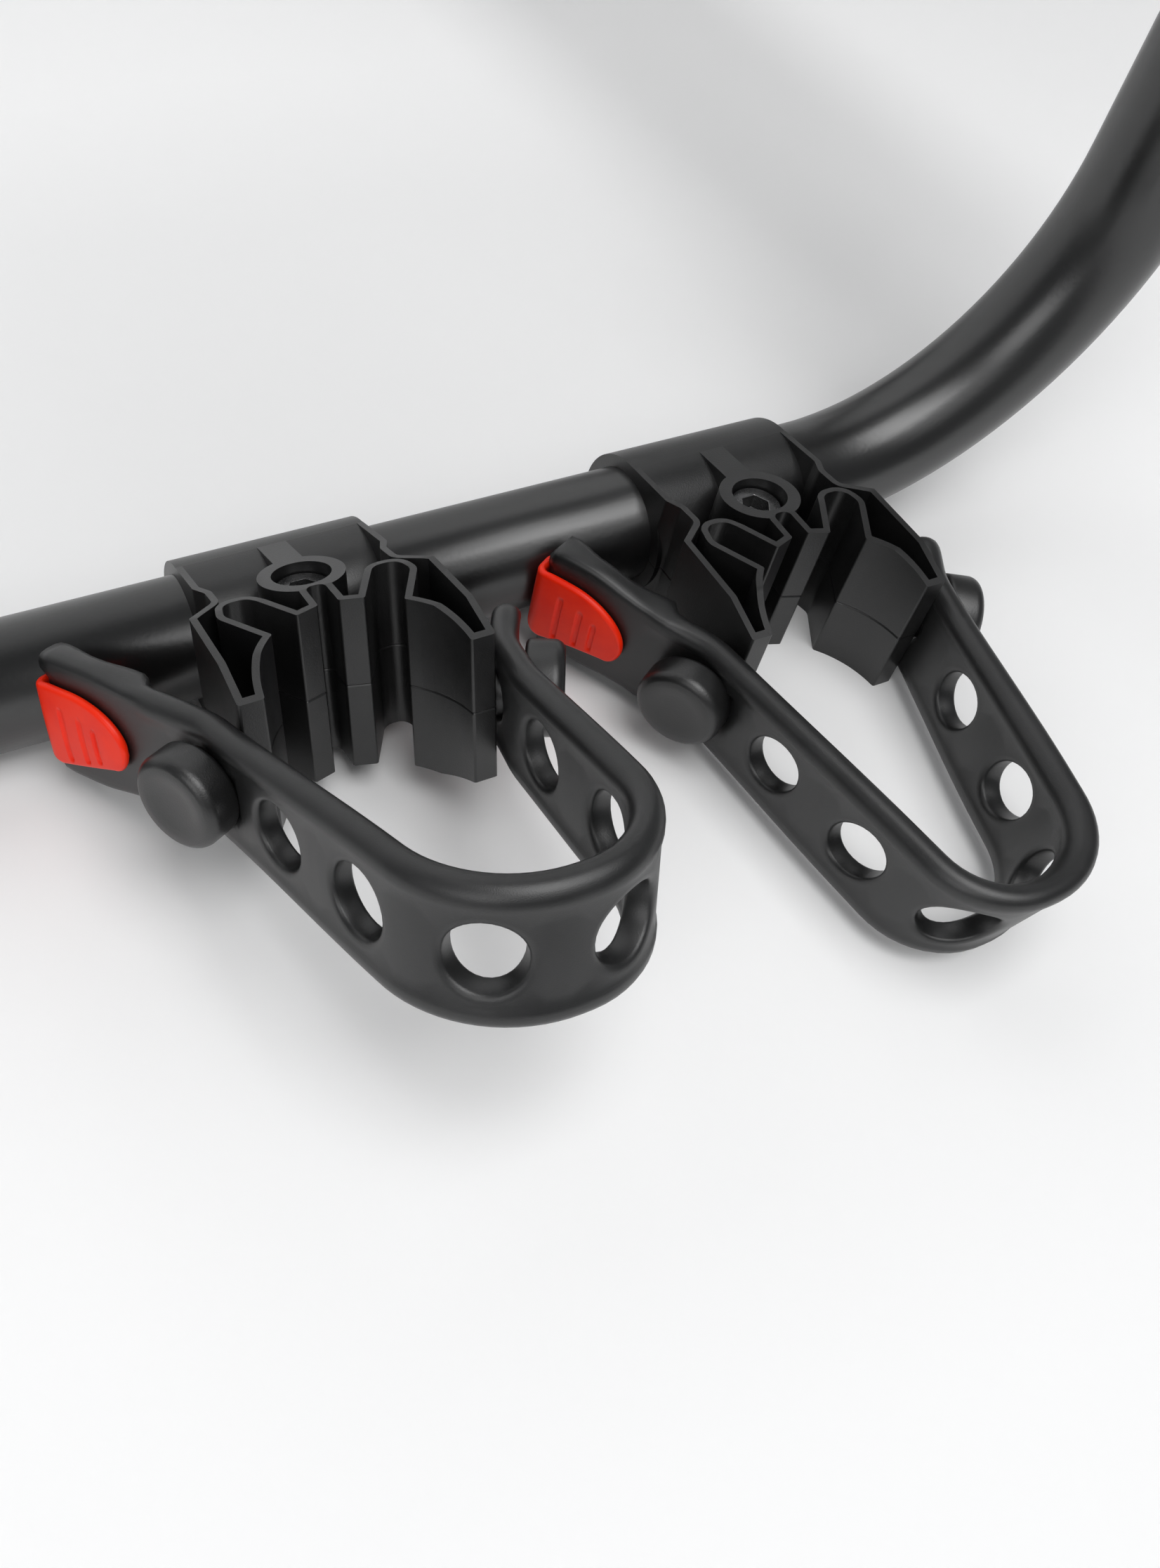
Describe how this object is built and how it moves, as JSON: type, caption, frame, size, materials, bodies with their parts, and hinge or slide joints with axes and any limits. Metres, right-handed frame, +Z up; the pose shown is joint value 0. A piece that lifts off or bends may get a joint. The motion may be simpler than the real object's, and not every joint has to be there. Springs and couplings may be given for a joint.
{
  "type": "hitch bike rack",
  "caption": "Folding hitch bike rack: square shank, tilting mast, folding bent tube with two arms, swivelling cradles with holed rubber straps and red pull tabs.",
  "frame": {"origin": "centre of the hitch pin hole, in the middle of the shank", "axes": "+X forward along the shank into the receiver, +Y to the vehicle's left, +Z up along the mast; the arms run back along -X"},
  "size_m": [0.83, 0.475, 0.9203],
  "materials": {
    "black_powder_coat": "satin black powder coat",
    "zinc_steel": "bright zinc plate",
    "black_steel": "black oxide",
    "cradle_plastic": "fine textured black moulding",
    "strap_rubber": "matt dark grey rubber",
    "tab_red": "semi gloss orange red",
    "cap_plastic": "matt black",
    "knob_plastic": "textured black"
  },
  "bodies": {
    "shank": {"shank_tube": "black_powder_coat", "shank_cap": "cap_plastic", "base_plates": "black_powder_coat", "hitch_nut": "zinc_steel", "tilt_pivot_bolt": "zinc_steel", "tilt_pivot_nut": "zinc_steel", "tilt_pivot_washers": "zinc_steel"},
    "hitch_pin": {"hitch_bolt": "zinc_steel", "hitch_washer": "zinc_steel", "hitch_lock_washer": "zinc_steel"},
    "mast": {"mast_tube": "black_powder_coat", "mast_cap": "cap_plastic", "tilt_bush": "zinc_steel", "fold_bush": "zinc_steel", "tilt_clamp_bolt": "zinc_steel", "tilt_clamp_washers": "zinc_steel", "fold_clamp_bolt": "zinc_steel", "fold_clamp_washers": "zinc_steel", "fold_pivot_bolt": "zinc_steel", "fold_pivot_nut": "zinc_steel", "fold_pivot_washers": "zinc_steel"},
    "tilt_hand_knob": {"tilt_knob": "knob_plastic"},
    "fold_hand_knob": {"fold_knob": "knob_plastic"},
    "arms": {"carrying_tube": "black_powder_coat", "arm_end_caps": "cap_plastic", "head_plates": "black_powder_coat"},
    "cradle_front_right": {"front_right_cradle_left_half": "cradle_plastic", "front_right_cradle_right_half": "cradle_plastic", "front_right_cradle_bolt": "black_steel", "front_right_cradle_nut": "zinc_steel", "front_right_strap_pegs": "cradle_plastic", "front_right_strap": "strap_rubber"},
    "tab_front_right": {"front_right_pull_tab": "tab_red"},
    "cradle_rear_right": {"rear_right_cradle_left_half": "cradle_plastic", "rear_right_cradle_right_half": "cradle_plastic", "rear_right_cradle_bolt": "black_steel", "rear_right_cradle_nut": "zinc_steel", "rear_right_strap_pegs": "cradle_plastic", "rear_right_strap": "strap_rubber"},
    "tab_rear_right": {"rear_right_pull_tab": "tab_red"},
    "cradle_front_left": {"front_left_cradle_left_half": "cradle_plastic", "front_left_cradle_right_half": "cradle_plastic", "front_left_cradle_bolt": "black_steel", "front_left_cradle_nut": "zinc_steel", "front_left_strap_pegs": "cradle_plastic", "front_left_strap": "strap_rubber"},
    "tab_front_left": {"front_left_pull_tab": "tab_red"},
    "cradle_rear_left": {"rear_left_cradle_left_half": "cradle_plastic", "rear_left_cradle_right_half": "cradle_plastic", "rear_left_cradle_bolt": "black_steel", "rear_left_cradle_nut": "zinc_steel", "rear_left_strap_pegs": "cradle_plastic", "rear_left_strap": "strap_rubber"},
    "tab_rear_left": {"rear_left_pull_tab": "tab_red"}
  },
  "joints": [
    {"name": "hitch_bolt_draw", "type": "slide", "parent": "shank", "child": "hitch_pin", "axis": [0, -1, 0], "range_m": [0, 0.08]},
    {"name": "mast_tilt", "type": "hinge", "parent": "shank", "child": "mast", "pos_m": [-0.23, 0, 0], "axis": [0, -1, 0], "range_deg": [0, 45]},
    {"name": "tilt_knob_turn", "type": "hinge", "parent": "mast", "child": "tilt_hand_knob", "pos_m": [-0.23, 0.045, 0.07], "axis": [0, 1, 0], "continuous": true},
    {"name": "fold_knob_turn", "type": "hinge", "parent": "mast", "child": "fold_hand_knob", "pos_m": [-0.23, 0.045, 0.632], "axis": [0, 1, 0], "continuous": true},
    {"name": "arms_fold", "type": "hinge", "parent": "mast", "child": "arms", "pos_m": [-0.23, 0, 0.67], "axis": [0, -1, 0], "range_deg": [0, 90]},
    {"name": "front_right_swivel", "type": "hinge", "parent": "arms", "child": "cradle_front_right", "pos_m": [-0.432, -0.19, 0.72], "axis": [1, 0, 0], "range_deg": [-60, 60]},
    {"name": "front_right_strap_release", "type": "slide", "parent": "cradle_front_right", "child": "tab_front_right", "axis": [-0.8572, 0, 0.515], "range_m": [0, 0.026], "stiffness_N_per_m": 400, "deforming": ["front_right_strap"]},
    {"name": "rear_right_swivel", "type": "hinge", "parent": "arms", "child": "cradle_rear_right", "pos_m": [-0.5825, -0.19, 0.72], "axis": [1, 0, 0], "range_deg": [-42.4, 77.6]},
    {"name": "rear_right_strap_release", "type": "slide", "parent": "cradle_rear_right", "child": "tab_rear_right", "axis": [-0.8572, 0.1557, 0.4909], "range_m": [0, 0.026], "stiffness_N_per_m": 400, "deforming": ["rear_right_strap"]},
    {"name": "front_left_swivel", "type": "hinge", "parent": "arms", "child": "cradle_front_left", "pos_m": [-0.432, 0.19, 0.72], "axis": [1, 0, 0], "range_deg": [-60, 60]},
    {"name": "front_left_strap_release", "type": "slide", "parent": "cradle_front_left", "child": "tab_front_left", "axis": [-0.8572, 0, 0.515], "range_m": [0, 0.026], "stiffness_N_per_m": 400, "deforming": ["front_left_strap"]},
    {"name": "rear_left_swivel", "type": "hinge", "parent": "arms", "child": "cradle_rear_left", "pos_m": [-0.5825, 0.19, 0.72], "axis": [1, 0, 0], "range_deg": [-42.4, 77.6]},
    {"name": "rear_left_strap_release", "type": "slide", "parent": "cradle_rear_left", "child": "tab_rear_left", "axis": [-0.8572, 0.1557, 0.4909], "range_m": [0, 0.026], "stiffness_N_per_m": 400, "deforming": ["rear_left_strap"]}
  ]
}
